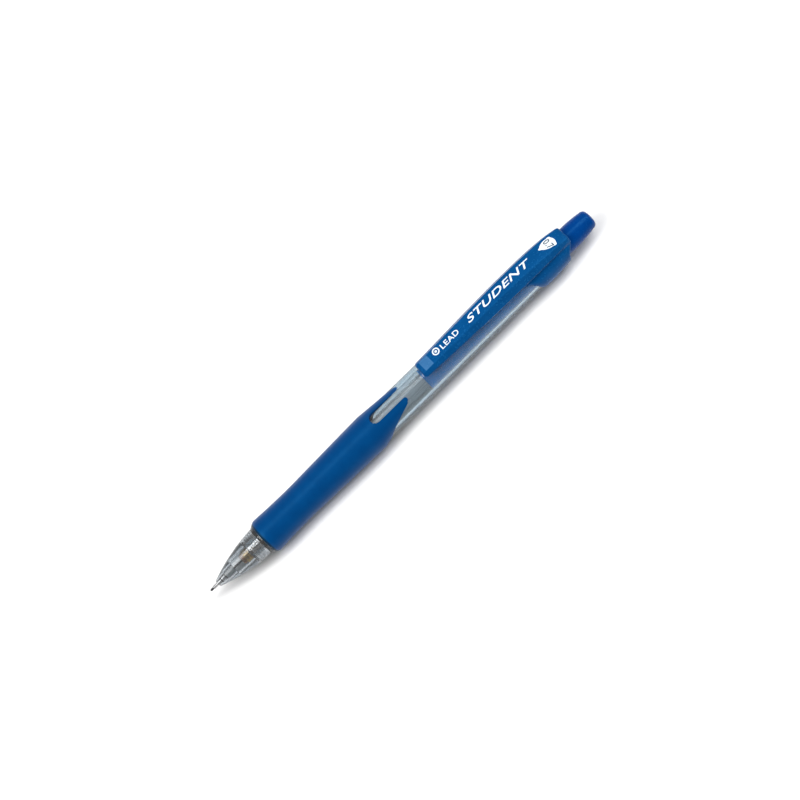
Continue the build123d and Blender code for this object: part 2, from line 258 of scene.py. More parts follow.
class Finish:
    """A node material round one Principled shader, with what varies over the surface."""

    def __init__(self, name, **sockets):
        self.material = bpy.data.materials.new(name)
        self.material.use_nodes = True
        self.nodes = self.material.node_tree.nodes
        self.links = self.material.node_tree.links
        self.shader = self.nodes["Principled BSDF"]
        for socket, value in sockets.items():
            self.shader.inputs[socket.replace("_", " ")].default_value = value
        self.where = self.nodes.new("ShaderNodeTexCoord").outputs["Object"]

    def scaled(self, stretch):
        """Object coordinates in mm, stretched along the axes."""
        node = self.nodes.new("ShaderNodeMapping")
        node.inputs["Scale"].default_value = [s / MM for s in stretch]
        self.links.new(self.where, node.inputs["Vector"])
        return node.outputs["Vector"]

    def noise(self, size, detail=3.0, roughness=0.55, stretch=(1, 1, 1)):
        """Noise with features of about size mm."""
        node = self.nodes.new("ShaderNodeTexNoise")
        node.inputs["Scale"].default_value = 1 / size
        node.inputs["Detail"].default_value = detail
        node.inputs["Roughness"].default_value = roughness
        self.links.new(self.scaled(stretch), node.inputs["Vector"])
        return node.outputs["Fac"]

    def cells(self, size, stretch=(1, 1, 1)):
        """Distance field of small cells, for grain and pits."""
        node = self.nodes.new("ShaderNodeTexVoronoi")
        node.inputs["Scale"].default_value = 1 / size
        self.links.new(self.scaled(stretch), node.inputs["Vector"])
        return node.outputs["Distance"]

    def colour(self, factor, dark, light, low=0.35, high=0.65):
        """Base colour between two tones."""
        ramp = self.nodes.new("ShaderNodeValToRGB")
        ramp.color_ramp.elements[0].position = low
        ramp.color_ramp.elements[0].color = dark
        ramp.color_ramp.elements[1].position = high
        ramp.color_ramp.elements[1].color = light
        self.links.new(factor, ramp.inputs["Fac"])
        self.links.new(ramp.outputs["Color"], self.shader.inputs["Base Color"])
        return self

    def painted_rim_shade(self, tone):
        """Glass tinted by this tone where the sight line grazes it and crosses more of the wall: painted shade
        on the rims, darker than the wall's smoke alone makes them.
        """
        facing = self.nodes.new("ShaderNodeLayerWeight").outputs["Facing"]
        graze = self.nodes.new("ShaderNodeMapRange")
        graze.inputs["From Min"].default_value = 0.2
        graze.inputs["From Max"].default_value = 0.6
        self.links.new(facing, graze.inputs["Value"])
        mix = self.nodes.new("ShaderNodeMixRGB")
        mix.blend_type = "MULTIPLY"
        mix.inputs["Color2"].default_value = tone
        self.links.new(graze.outputs["Result"], mix.inputs["Fac"])
        base = self.shader.inputs["Base Color"]
        self.links.new(base.links[0].from_socket, mix.inputs["Color1"])
        self.links.new(mix.outputs["Color"], base)
        return self

    def polish(self, factor, low, high):
        """Roughness between two values."""
        node = self.nodes.new("ShaderNodeMapRange")
        node.inputs["From Min"].default_value = 0.3
        node.inputs["From Max"].default_value = 0.7
        node.inputs["To Min"].default_value = low
        node.inputs["To Max"].default_value = high
        self.links.new(factor, node.inputs["Value"])
        self.links.new(node.outputs["Result"], self.shader.inputs["Roughness"])
        return self

    def bump(self, factor, height, strength=1.0):
        """Relief with this height in mm."""
        node = self.nodes.new("ShaderNodeBump")
        node.inputs["Distance"].default_value = height * MM
        node.inputs["Strength"].default_value = strength
        self.links.new(factor, node.inputs["Height"])
        self.links.new(node.outputs["Normal"], self.shader.inputs["Normal"])
        return self


BLUE_GLOSS = (0.1, 0.55, 1.0, 1.0)


def clear_plastic(name, dark, light, smoke_colour, smokiness):
    """Smoke-clear styrene, darker the thicker it is, with faint flow marks and handling haze."""
    f = Finish(name, Transmission_Weight=0.97, IOR=1.5)
    f.colour(f.noise(6.0, 2.0), dark, light)
    # painted shade: the glass is tinted darker at its grazing rims
    f.painted_rim_shade(rgb(196, 203, 208))
    f.polish(f.noise(1.2, 4.0), 0.03, 0.09)
    f.bump(f.noise(2.5, 3.0, 0.5, (0.25, 1, 1)), 0.004, 0.6)
    smoke = f.nodes.new("ShaderNodeVolumeAbsorption")
    smoke.inputs["Color"].default_value = smoke_colour
    smoke.inputs["Density"].default_value = smokiness
    f.links.new(smoke.outputs["Volume"], f.nodes["Material Output"].inputs["Volume"])
    return f.material


def soft_rubber(name, dark, light):
    """Satin blue elastomer with a fine moulded grain."""
    f = Finish(name, IOR=1.45, Specular_IOR_Level=0.3, Specular_Tint=BLUE_GLOSS)
    f.colour(f.noise(3.0, 4.0), dark, light)
    f.polish(f.noise(0.5, 4.0), 0.32, 0.42)
    f.bump(f.cells(0.11), 0.006, 0.5)
    return f.material


def tinted_plastic(name, dark, light, through, haze):
    """Blue translucent plastic."""
    f = Finish(name, Transmission_Weight=through, IOR=1.45, Specular_IOR_Level=0.25, Specular_Tint=BLUE_GLOSS)
    f.colour(f.noise(4.0, 3.0), dark, light)
    f.polish(f.noise(0.9, 4.0), *haze)
    f.bump(f.noise(1.8, 3.0, 0.5, (0.3, 1, 1)), 0.004, 0.5)
    return f.material


def metal(name, dark, light, low, high, stretch):
    """Turned or drawn metal with fine lines."""
    f = Finish(name, Metallic=1.0, Anisotropic=0.4)
    lines = f.noise(0.08, 4.0, 0.6, stretch)
    f.colour(f.noise(0.7, 3.0), dark, light)
    f.polish(lines, low, high)
    f.bump(lines, 0.003, 0.6)
    return f.material


def dull(name, dark, light, low, high, grain=0.15, height=0.008, **sockets):
    """Matt or satin solid material with a grain."""
    f = Finish(name, **sockets)
    f.colour(f.noise(1.5, 4.0), dark, light)
    f.polish(f.noise(0.6, 4.0), low, high)
    f.bump(f.noise(grain, 4.0), height, 0.7)
    return f.material


WATER_CLEAR = (rgb(240, 242, 243), rgb(246, 247, 248))
CONE_CLEAR = clear_plastic("cone_clear", *WATER_CLEAR, (0.44, 0.49, 0.53, 1), 480)
BARREL_CLEAR = clear_plastic("barrel_clear", *WATER_CLEAR, (0.28, 0.5, 0.62, 1), 300)
RUBBER = soft_rubber("grip_rubber", rgb(0, 56, 109), rgb(0, 60, 114))
# painted shade: a darker copy of the grip rubber for the front lip, which lies in shade
LIP_PAINTED_SHADE = soft_rubber("grip_lip_painted_shade", rgb(8, 34, 54), rgb(12, 40, 62))
CLIP_BLUE = tinted_plastic("clip_blue", rgb(4, 70, 126), rgb(6, 75, 133), 0.1, (0.2, 0.3))
# painted reflection: a paler copy of the clip's blue for the patch of the face over the pad
CLIP_PAD_PAINTED_REFLECTION = tinted_plastic("clip_pad_painted_reflection", rgb(54, 106, 156), rgb(64, 114, 164), 0.1, (0.2, 0.3))
BUTTON_BLUE = tinted_plastic("button_blue", rgb(0, 54, 121), rgb(0, 57, 126), 0.02, (0.22, 0.3))
SLEEVE_BLUE = dull("sleeve_blue", rgb(20, 160, 250), rgb(26, 165, 254), 0.3, 0.42, IOR=1.5)
STEEL = metal("steel", rgb(176, 176, 178), rgb(206, 206, 206), 0.16, 0.3, (0.1, 1, 1))
SPRING_STEEL = metal("spring_steel", rgb(150, 150, 152), rgb(190, 190, 190), 0.2, 0.35, (1, 1, 1))
RING_BRASS = metal("ring_brass", rgb(190, 150, 78), rgb(216, 178, 104), 0.18, 0.32, (1, 0.1, 0.1))
CHUCK_BRASS = metal("chuck_brass", rgb(150, 104, 66), rgb(186, 132, 88), 0.22, 0.36, (1, 0.1, 0.1))
GRAPHITE = dull("graphite", rgb(38, 38, 40), rgb(58, 58, 60), 0.3, 0.5, 0.05, 0.004, Metallic=0.35)
RETAINER = dull("retainer_rubber", rgb(196, 200, 202), rgb(208, 211, 212), 0.5, 0.65, Transmission_Weight=0.3)
ACETAL = dull("connector_plastic", rgb(214, 216, 214), rgb(226, 227, 224), 0.35, 0.5, Subsurface_Weight=0.1)
ERASER = dull("eraser_rubber", rgb(232, 231, 226), rgb(242, 241, 237), 0.7, 0.85, 0.1, 0.02)
SHADOW_GREY = dull("shadow_grey", rgb(34, 36, 40), rgb(44, 46, 50), 0.5, 0.7, 0.1, 0.004)
WHITE_INK = dull("white_ink", rgb(216, 226, 234), rgb(228, 236, 242), 0.4, 0.55, 0.08, 0.003)
DARK_INK = dull("dark_ink", rgb(12, 36, 60), rgb(16, 42, 70), 0.4, 0.55, 0.08, 0.003)


def milky_tube():
    """Extruded magazine tube, translucent and slightly milky, with draw lines along it."""
    f = Finish("tube_plastic", Transmission_Weight=0.3, IOR=1.49)
    f.colour(f.noise(5.0, 2.0), rgb(226, 231, 233), rgb(236, 240, 241))
    f.polish(f.noise(0.25, 3.0, 0.5, (0.02, 1, 1)), 0.22, 0.36)
    f.bump(f.noise(0.25, 3.0, 0.5, (0.02, 1, 1)), 0.004, 0.5)
    return f.material


TUBE_MILKY = milky_tube()


# ---------------------------------------------------------------- nose

THREAD_PITCH = 0.77
THREAD = (15.75, 19.1)  # stations between which the thread runs
FIT = 0.02


def ridge(station, angle):
    """Height from 0 to 1 of a right-hand thread at this station and angle about +X from +Z towards -Y."""
    turns = (station - THREAD[0]) / THREAD_PITCH + angle / (2 * math.pi)
    wave = abs(2 * (turns % 1.0) - 1)
    ends = smooth((station - THREAD[0]) / 0.4) * smooth((THREAD[1] - station) / 0.4)
    return smooth((wave - 0.2) / 0.6) * ends


def make_lead():
    front, rear, radius = extent("lead")
    profile = rounded(
        [
            (front, 0),
            (front, radius * 0.5, 0.08),
            (front + 0.3, radius, 0.1),
            (rear - 0.05, radius, 0.03),
            (rear, radius - 0.05),
            (rear, 0),
        ]
    )
    lathe("lead_in_use", profile, GRAPHITE, "feed", "graphite", ["lead"], segments=32)


def make_spare_leads():
    front, rear, half = extent("spare_leads")
    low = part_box("spare_leads")[0]
    radius = extent("lead")[2]
    level = (low.z - AXIS_Z) / MM + radius
    side = half - radius
    raised = (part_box("spare_leads")[1].z - AXIS_Z) / MM - radius
    profile = rounded([(front, 0), (front, radius, 0.05), (rear, radius, 0.05), (rear, 0)])
    for n, (across, up) in enumerate(((-side, raised), (0, level), (side, raised)), start=1):
        lead = lathe(f"spare_lead_{n}", profile, GRAPHITE, None, "graphite", segments=24)
        lead.data.transform(Matrix.Translation((0, across * MM, up * MM)))
        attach(lead, "magazine")
        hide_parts("spare_leads")


def make_lead_sleeve():
    front, rear, flange = extent("lead_sleeve")
    cone_front = extent("nose_cone")[0]
    outer, bore = 0.525, extent("lead")[2] + FIT
    seat = rear - 1.9
    step = 0.72
    dark_edge = 0.3  # painted shade on the ends of the flange, where it's pressed into the cone
    profile = rounded(
        [
            (front, bore, 0.02),
            (front, outer, 0.07),
            (cone_front - 0.05, outer),
            (cone_front - 0.05, step, 0.03),
            (seat, step),
            (seat, flange, 0.05),
            (seat + dark_edge, flange),
            (rear - dark_edge, flange),
            (rear, flange, 0.05),
            (rear, flange - 0.15),
            (rear - 0.8, bore),
        ]
    )
    sleeve = lathe("steel_sleeve", profile, STEEL, "nose_core", "steel", ["lead_sleeve"], segments=64)
    second_material(sleeve, SHADOW_GREY, [(seat, seat + dark_edge), (rear - dark_edge, rear)])


def make_retainer():
    front, rear, outer = extent("lead_retainer")
    bore = extent("lead")[2] + FIT / 2
    profile = rounded(
        [
            (front, bore),
            (front, outer, 0.1),
            (rear, outer, 0.15),
            (rear, bore + 0.3, 0.05),
            (rear - 0.7, bore),
        ]
    )
    lathe("lead_bush", profile, RETAINER, "nose_core", "retainer_rubber", ["lead_retainer"], segments=64)


def make_cone():
    """Ogive outside, stepped inside, with the female thread at its rear."""
    front, rear, wide = extent("nose_cone")
    sleeve_front, sleeve_rear, sleeve_flange = extent("lead_sleeve")
    bush_rear, bush = extent("lead_retainer")[1:]
    ring_room = extent("clutch_ring")[2] + 0.08
    seat = sleeve_rear - 1.9 - FIT
    tip = 0.98
    edge = arc((front, tip - 0.1), (front + 0.03, tip - 0.03), (front + 0.1, tip + 0.03), 3)
    outside = [(front, tip - 0.1), *edge]
    outside += arc((front + 0.1, tip + 0.03), (10.4, 3.2), (rear - 0.12, wide), 48)
    outside += arc((rear - 0.12, wide), (rear - 0.03, wide - 0.04), (rear, wide - 0.13), 3)
    thread_root = 3.9
    inside = [(rear, thread_root + 0.1), (rear - 0.1, thread_root)]
    inside += [(s, thread_root) for s in spread(THREAD[1], THREAD[0] - 0.2, 60)]
    inside += rounded(
        [
            (15.23, thread_root, 0.1),
            (15.23, ring_room, 0.08),
            (12.6, ring_room, 0.1),
            (12.6, 1.85, 0.05),
            (bush_rear, 1.85, 0.25),
            (bush_rear, bush + FIT, 0.04),
            (sleeve_rear + 0.02, bush + FIT, 0.04),
            (sleeve_rear + 0.02, sleeve_flange + FIT, 0.04),
            (seat, sleeve_flange + FIT, 0.04),
            (seat, 0.72 + FIT),
            (front, 0.72 + FIT, 0.04),
        ]
    )

    def female(station, radius, angle):
        if radius != thread_root or station > THREAD[1]:
            return radius
        return radius - 0.28 * (1 - ridge(station, angle)) * smooth((station - THREAD[0]) / 0.3)

    lathe("nose_cone_clear", outside + inside, CONE_CLEAR, "nose_shell", "cone_clear", ["nose_cone"], female)


# ---------------------------------------------------------------- chuck, spring and magazine


def make_ring():
    front, rear, outer = extent("clutch_ring")
    profile = rounded(
        [
            (front, 1.56, 0.05),
            (front, outer, 0.14),
            (rear - 0.55, outer),
            (rear - 0.5, outer - 0.07),
            (rear - 0.35, outer - 0.07),
            (rear - 0.3, outer),
            (rear, outer, 0.1),
            (rear, 1.22, 0.05),
            (rear - 0.3, 1.22),
        ]
    )
    lathe("clutch_ring_brass", profile, RING_BRASS, "clutch", "ring_brass", ["clutch_ring"], segments=96)


def make_jaw(number, azimuth):
    """One jaw of the chuck: a toothed, tapered head on a springy strip that bends from the stem."""
    front, root = extent("chuck_jaw_1")[:2]
    grip, bore = extent("lead")[2] + FIT / 2, 0.5
    teeth = []
    for s in spread(front + 2.3, front + 0.15, 25):
        teeth.append((s, grip + (0.05 if round((s - front) / 0.09) % 2 else 0.0)))
    profile = [(root, bore), (front + 2.4, bore), *teeth]
    profile += rounded(
        [
            (front, grip + 0.12, 0.05),
            (front, 1.25, 0.1),
            (front + 0.3, 1.5, 0.1),
            (front + 0.9, 1.55, 0.1),
            (front + 3.1, 1.1, 0.2),
            (front + 3.7, 1.05, 0.1),
            (root, 1.0),
        ]
    )
    steps, half_arc = 28, math.radians(56)
    points, faces = [], []
    for k in range(steps + 1):
        angle = math.radians(azimuth) - half_arc + 2 * half_arc * k / steps
        points += [place(s, -r * math.sin(angle), r * math.cos(angle)) for s, r in profile]
    total = len(profile)
    for k in range(steps):
        for n in range(total):
            m = (n + 1) % total
            faces.append((k * total + n, k * total + m, (k + 1) * total + m, (k + 1) * total + n))
    faces.append(tuple(range(total)))
    faces.append(tuple(steps * total + n for n in range(total)))
    name, node = f"jaw_{number}_brass", f"chuck_jaw_{number}"
    jaw = finish_mesh(name, points, faces, CHUCK_BRASS, None)
    outward(name)
    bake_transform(jaw)
    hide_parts(node)


def make_chuck_body():
    front, rear, barb = extent("chuck_body")
    bore, stem = 0.5, 1.0
    profile = [(front - 0.05, bore), (front - 0.05, stem)]
    first = rear - 5.5
    for n in range(3):
        s = first + n * 5.5 / 3
        profile += rounded([(s, stem), (s, barb, 0.04), (s + 1.46, stem)])
    profile += rounded([(rear, stem, 0.05), (rear, bore)])
    lathe("chuck_stem", profile, CHUCK_BRASS, "plunger", "chuck_brass", ["chuck_body"], segments=64)


def make_connector():
    front, rear, flange = extent("chuck_connector")
    seat = rear - 8.0
    boss = 1.68
    profile = rounded(
        [
            (front, 1.12, 0.05),
            (front, 1.6, 0.3),
            (seat, 1.6, 0.15),
            (seat, flange, 0.12),
            (seat + 1.2, flange, 0.12),
            (seat + 1.2, boss, 0.1),
            (rear, boss, 0.15),
            (rear, boss - 0.25, 0.05),
            (rear - 3.0, 0.5),
            (front + 6.5, 0.5),
            (front + 6.5, 1.12),
        ]
    )

    def flutes(station, radius, angle):
        """Six shallow flats on the part that the spring goes round."""
        if radius < 1.55 or station > seat - 0.3 or radius > 1.7:
            return radius
        return radius - 0.06 * smooth(math.cos(6 * angle) * 2 - 0.6)

    lathe(
        "chuck_joint", profile, ACETAL, "plunger", "connector_plastic", ["chuck_connector"], flutes, 96
    )


def make_spring():
    """Compression spring with closed ends, drawn at its length in the CAD frame; in the pencil the button
    squashes it towards its front end.
    """
    front, rear, outer = extent("spring")
    wire = 0.2
    mean = outer - wire
    turns, dead = 12.0, 1.5
    length = rear - front - 2 * wire

    def along(turn):
        """Station of the wire's centre after this many turns: tight at both ends, open between."""
        tight = 2 * wire * 1.02
        opened = (length - 2 * dead * tight) / (turns - 2 * dead)
        if turn < dead:
            return turn * tight
        if turn > turns - dead:
            return length - (turns - turn) * tight
        return dead * tight + (turn - dead) * opened

    per_turn, sides = 40, 12
    count = int(turns * per_turn) + 1
    points, faces = [], []
    for n in range(count):
        turn = n / per_turn
        angle = 2 * math.pi * turn
        s = front + wire + along(turn)
        for k in range(sides):
            a = 2 * math.pi * k / sides
            r = mean + wire * math.cos(a)
            points.append(place(s + wire * math.sin(a), r * math.sin(angle), r * math.cos(angle)))
    for n in range(count - 1):
        for k in range(sides):
            m = (k + 1) % sides
            faces.append((n * sides + k, n * sides + m, (n + 1) * sides + m, (n + 1) * sides + k))
    faces.append(tuple(range(sides)))
    faces.append(tuple((count - 1) * sides + k for k in range(sides)))
    spring = finish_mesh(
        "return_spring", points, faces, SPRING_STEEL, "barrel_body", ["spring"]
    )
    outward("return_spring")
    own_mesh(spring)


def make_lead_tube():
    front, rear, outer = extent("lead_tube")
    bore = 1.7
    profile = rounded(
        [(front, bore, 0.05), (front, outer, 0.15), (rear, outer, 0.15), (rear, bore, 0.1)]
    )
    lathe("magazine_tube", profile, TUBE_MILKY, "plunger", "tube_plastic", ["lead_tube"], segments=96)


def make_eraser():
    front, rear, radius = extent("eraser")

    def worn(station, r, angle):
        """A slightly rubbed, uneven end."""
        if station < rear - 1.2:
            return r
        return r * (1 - 0.03 * math.sin(2 * angle + 0.8) * smooth((station - rear + 1.2) / 1.2))

    profile = rounded(
        [(front, 0), (front, radius, 0.2), (rear - 1.5, radius), (rear, radius, 0.7), (rear, 0)], 8
    )
    lathe("eraser_plug", profile, ERASER, "plunger", "eraser_rubber", ["eraser"], worn, 64)


# ---------------------------------------------------------------- barrel and grip

BARREL_FULL_R = 4.95
BARREL_REAR_R = 4.74
TAPER = (66.0, 116.0)
GRIP_SEAT_R = 4.2
SEAT_END = 62.6
BORE_R = 3.4


def barrel_radius(station):
    share = min(1.0, max(0.0, (station - TAPER[0]) / (TAPER[1] - TAPER[0])))
    return BARREL_FULL_R + (BARREL_REAR_R - BARREL_FULL_R) * share


def make_barrel():
    """Clear body with its thread, flange, grip seat and stepped bore."""
    front, rear = extent("barrel")[:2]
    cone_rear, cone_r = extent("nose_cone")[1:]
    grip_front = extent("grip")[0]
    flange = 4.9
    neck = 3.5
    outside = rounded([(front, 1.55, 0.05), (front, neck, 0.2), (front + 0.4, neck)])
    outside += [(s, neck) for s in spread(THREAD[0] - 0.1, THREAD[1] + 0.1, 64)]
    outside += rounded(
        [
            (cone_rear + 0.05, neck, 0.05),
            (cone_rear + 0.05, cone_r, 0.1),
            (grip_front, flange, 0.1),
            (grip_front, GRIP_SEAT_R, 0.1),
            (SEAT_END, GRIP_SEAT_R, 0.1),
            (SEAT_END, BARREL_FULL_R, 0.1),
        ]
    )
    outside += [(s, barrel_radius(s)) for s in spread(TAPER[0], TAPER[1], 12)]
    outside += rounded([(rear, BARREL_REAR_R, 0.2), (rear, BORE_R, 0.1)])
    spring_front = extent("spring")[0] - 0.04
    inside = rounded(
        [
            (41.0, BORE_R, 0.3),
            (41.0, 2.75, 0.3),
            (spring_front, 2.75, 0.1),
            (spring_front, 1.55, 0.1),
        ]
    )

    def male(station, radius, angle):
        if radius != neck or not THREAD[0] <= station <= THREAD[1]:
            return radius
        return radius + 0.32 * ridge(station, angle)

    profile = outside + inside
    looks = (BARREL_CLEAR, "barrel_body", "barrel_clear")
    barrel = lathe("barrel_clear_body", profile, *looks, ["barrel"], male)
    second_material(barrel, SHADOW_GREY, [(0, front + 0.4)])


def make_barrel_marks():
    """A row of small raised marks on the barrel along the clip's plane, in the fork of the grip."""
    first, last = 64.9, 81.4
    count = 26
    points, faces = [], []
    for n in range(count):
        s = first + (last - first) * (n + 0.5) / count
        tall = 0.5 if n % 4 else 0.3
        half = 0.17 if n % 3 else 0.1
        lean = 0.12
        base = len(points)
        surface = barrel_radius(s)
        for level, grow in ((-0.03, 1.0), (0.06, 0.95), (0.1, 0.6)):
            for ds, dy in ((-1, -1), (1, -1), (1, 1), (-1, 1)):
                y = dy * tall * grow
                z = math.sqrt(surface * surface - y * y) + level
                points.append(place(s + ds * half * grow + lean * dy, y, z))
        for level in (0, 4):
            for k in range(4):
                m = (k + 1) % 4
                faces.append((base + level + k, base + level + m, base + level + 4 + m, base + level + 4 + k))
        faces.append((base + 3, base + 2, base + 1, base))
        faces.append((base + 8, base + 9, base + 10, base + 11))
    marks = finish_mesh("barrel_marks", points, faces, BARREL_CLEAR, "barrel_body")
    outward("barrel_marks")
    marks.modifiers.new("soft_edges", "BEVEL").width = 0.03 * MM


GRIP_PROFILE = curve_through(
    (
        (20.4, 4.96),
        (21.0, 5.24),
        (21.7, 5.46),
        (24.7, 5.33),
        (28.0, 5.21),
        (34.0, 5.1),
        (42.0, 5.25),
        (50.0, 5.43),
        (57.0, 5.58),
        (61.6, 5.66),
    )
)
GRIP_CREASE = 62.4
GRIP_REAR_EDGE = curve_through(
    # angle from the clip's plane in degrees, and where the rubber ends there
    (
        (0, 75.4),
        (33, 75.4),
        (38, 74.9),
        (47, 72.9),
        (56, 70.7),
        (65, 69.0),
        (74, 67.3),
        (90, 65.8),
        (110, 64.9),
        (180, 63.9),
    )
)
SLOT_HALF = 1.6
SLOT_FRONT = 63.8


LIP_END = 21.05  # painted shade on the grip's chamfered front lip reaches up to here


def grip_end(degrees):
    """Rear end of the rubber at this angle from the clip's plane, with rounded finger tips."""
    end = GRIP_REAR_EDGE(degrees)
    inner, outer = slot_angle(), 36.0
    if inner <= degrees <= outer:
        middle = (inner + outer) / 2
        off = abs(degrees - middle) / (outer - middle)
        end = min(end, 75.4 - 0.75 * (1 - math.sqrt(max(0.0, 1 - off**2.4))))
    return end


def slot_angle():
    return math.degrees(math.asin(SLOT_HALF / BARREL_FULL_R))


def grip_radius(station, degrees):
    """Outside of the rubber: the waisted sleeve, falling from a crease to its thin rear edge."""
    radius = GRIP_PROFILE(station)
    front = extent_grip[0]
    lead_in = (station - front) / 0.3
    if lead_in < 1:
        radius -= 0.14 * (1 - math.sqrt(max(0.0, 1 - (1 - lead_in) ** 2)))
    if station > GRIP_CREASE - 0.6:
        end = GRIP_REAR_EDGE(degrees)
        share = (station - GRIP_CREASE) / (end - GRIP_CREASE)
        fall = 0.6 * max(0.0, share) ** 1.1
        eased = 0.05 * smooth((station - GRIP_CREASE + 0.6) / 1.2)
        radius = radius - fall - eased
    return radius


extent_grip = extent("grip")


def make_grip():
    """Rubber sleeve with a forked rear end. Columns run along the pencil, and those on the edges of the slot
    are shared by the slot's round front and the fingers."""
    front = extent_grip[0]
    slot = slot_angle()
    inside_slot = spread(0, slot, 9)
    beside = [slot + (36 - slot) * t for t in (0.06, 0.15, 0.3, 0.5, 0.7, 0.85, 0.94, 1.0)]
    around = [36 + (180 - 36) * n / 52 for n in range(1, 53)]
    half = inside_slot + beside + around
    degrees = half + [-d for d in reversed(half[1:-1])]
    shared_end = SLOT_FRONT + SLOT_HALF

    def slot_end(angle):
        across = barrel_radius(SLOT_FRONT) * math.sin(math.radians(angle))
        return shared_end - math.sqrt(max(0.0, SLOT_HALF**2 - across**2))

    long_rows = [front + (GRIP_CREASE - front) * (n / 70) ** 1.0 for n in range(71)]
    long_rows[1:1] = [front + 0.05, front + 0.12, front + 0.22, front + 0.36]
    short_rows, finger_rows = 8, 36
    points, index = [], {}

    def vertex(skin, column, row, station, radius):
        angle = math.radians(degrees[column])
        index[skin, column, row] = len(points)
        points.append(place(station, radius * math.sin(angle), radius * math.cos(angle)))

    for column, angle in enumerate(degrees):
        turn = abs(angle)
        rows = list(long_rows)
        if turn < slot - 1e-6:
            last = slot_end(turn)
            rows += [GRIP_CREASE + (last - GRIP_CREASE) * n / short_rows for n in range(1, short_rows + 1)]
        else:
            end = grip_end(turn)
            middle = min(shared_end, GRIP_CREASE + 0.55 * (end - GRIP_CREASE))
            rows += [GRIP_CREASE + (middle - GRIP_CREASE) * n / short_rows for n in range(1, short_rows + 1)]
            rows += [middle + (end - middle) * n / finger_rows for n in range(1, finger_rows + 1)]
        for row, station in enumerate(rows):
            outer = grip_radius(station, turn)
            inner = GRIP_SEAT_R - 0.03 if station < SEAT_END else barrel_radius(station) - 0.03
            vertex("out", column, row, station, outer)
            vertex("in", column, row, station, inner)
    faces = []
    columns = len(degrees)
    rows_short = len(long_rows) + short_rows
    rows_long = rows_short + finger_rows
    in_slot = [abs(d) < slot - 1e-6 for d in degrees]
    for column in range(columns):
        other = (column + 1) % columns
        rows = rows_short if in_slot[column] or in_slot[other] else rows_long
        for row in range(rows - 1):
            for skin in ("out", "in"):
                faces.append(
                    (
                        index[skin, column, row],
                        index[skin, other, row],
                        index[skin, other, row + 1],
                        index[skin, column, row + 1],
                    )
                )
        for edge in (0, rows - 1):
            faces.append(
                (
                    index["out", column, edge],
                    index["out", other, edge],
                    index["in", other, edge],
                    index["in", column, edge],
                )
            )
    for column in range(columns):
        neighbours = in_slot[column - 1], in_slot[(column + 1) % columns]
        if in_slot[column] or not any(neighbours):
            continue
        for row in range(rows_short - 1, rows_long - 1):
            faces.append(
                (
                    index["out", column, row],
                    index["out", column, row + 1],
                    index["in", column, row + 1],
                    index["in", column, row],
                )
            )
    grip = finish_mesh("rubber_grip", points, faces, RUBBER, "barrel_body", ["grip"])
    # painted shade on the front lip of the grip, up to LIP_END
    second_material(grip, LIP_PAINTED_SHADE, [(0, LIP_END)])
    outward("rubber_grip")
    bevel = grip.modifiers.new("soft_edges", "BEVEL")
    bevel.width = 0.08 * MM
    bevel.segments = 3
    bevel.limit_method = "ANGLE"
    bevel.angle_limit = math.radians(50)
    grip.modifiers.move(1, 0)


# ---------------------------------------------------------------- upper body


def make_inner_sleeve():
    front, rear, flange = extent("inner_sleeve")
    outer, bore = 3.3, 2.6
    profile = rounded(
        [
            (front, bore, 0.1),
            (front, outer, 0.15),
            (102.6, outer, 0.05),
            (102.75, outer - 0.12, 0.05),
            (103.25, outer - 0.12, 0.05),
            (103.4, outer, 0.05),
            (125.0, outer, 0.05),
            (125.2, flange - FIT, 0.05),
            (rear, flange - FIT, 0.1),
            (rear, bore, 0.1),
        ]
    )
    nodes = ["inner_sleeve"]
    lathe("inner_tube_blue", profile, SLEEVE_BLUE, "barrel_body", "sleeve_blue", nodes, segments=96)


CLIP_TIP = extent("clip_arm")[0]
CLIP_ROOT = 103.4
FACE_HEIGHT = curve_through(
    (
        (83.0, 6.95),
        (86.0, 7.08),
        (90.0, 7.22),
        (103.5, 7.68),
        (114.0, 7.85),
        (119.0, 7.75),
        (125.0, 7.3),
        (132.0, 6.3),
        (137.3, 5.15),
    )
)
FACE_HALF = curve_through(
    ((83.0, 1.75), (90.0, 1.8), (103.5, 2.0), (116.0, 2.2), (125.0, 2.3), (132.0, 2.4), (137.3, 2.2))
)
EDGE_HEIGHT = curve_through(
    ((83.0, 6.0), (90.0, 5.8), (103.5, 5.68), (116.0, 5.62), (125.0, 5.4), (132.0, 4.9), (137.3, 4.2))
)
EDGE_HALF = curve_through(
    (
        (83.0, 2.72),
        (90.0, 3.0),
        (95.0, 3.19),
        (103.5, 3.46),
        (116.0, 3.7),
        (123.0, 3.68),
        (132.0, 3.38),
        (137.3, 2.75),
    )
)
FOOT_HALF = 3.05
COLLAR_R = curve_through(
    ((118.0, 5.28), (128.0, 5.28), (131.0, 5.12), (133.4, 4.87), (136.0, 4.6), (137.4, 4.45))
)
COLLAR_FRONT = curve_through(((39, 118.6), (46, 120.4), (72, 122.2), (115, 123.3), (180, 123.6)))
COLLAR_REAR = curve_through(
    ((0, 137.3), (36, 137.2), (50, 136.4), (65, 135.4), (80, 134.7), (115, 134.4), (180, 134.2))
)
COLLAR_BORE = 3.58
FACE_CROWN = 0.04


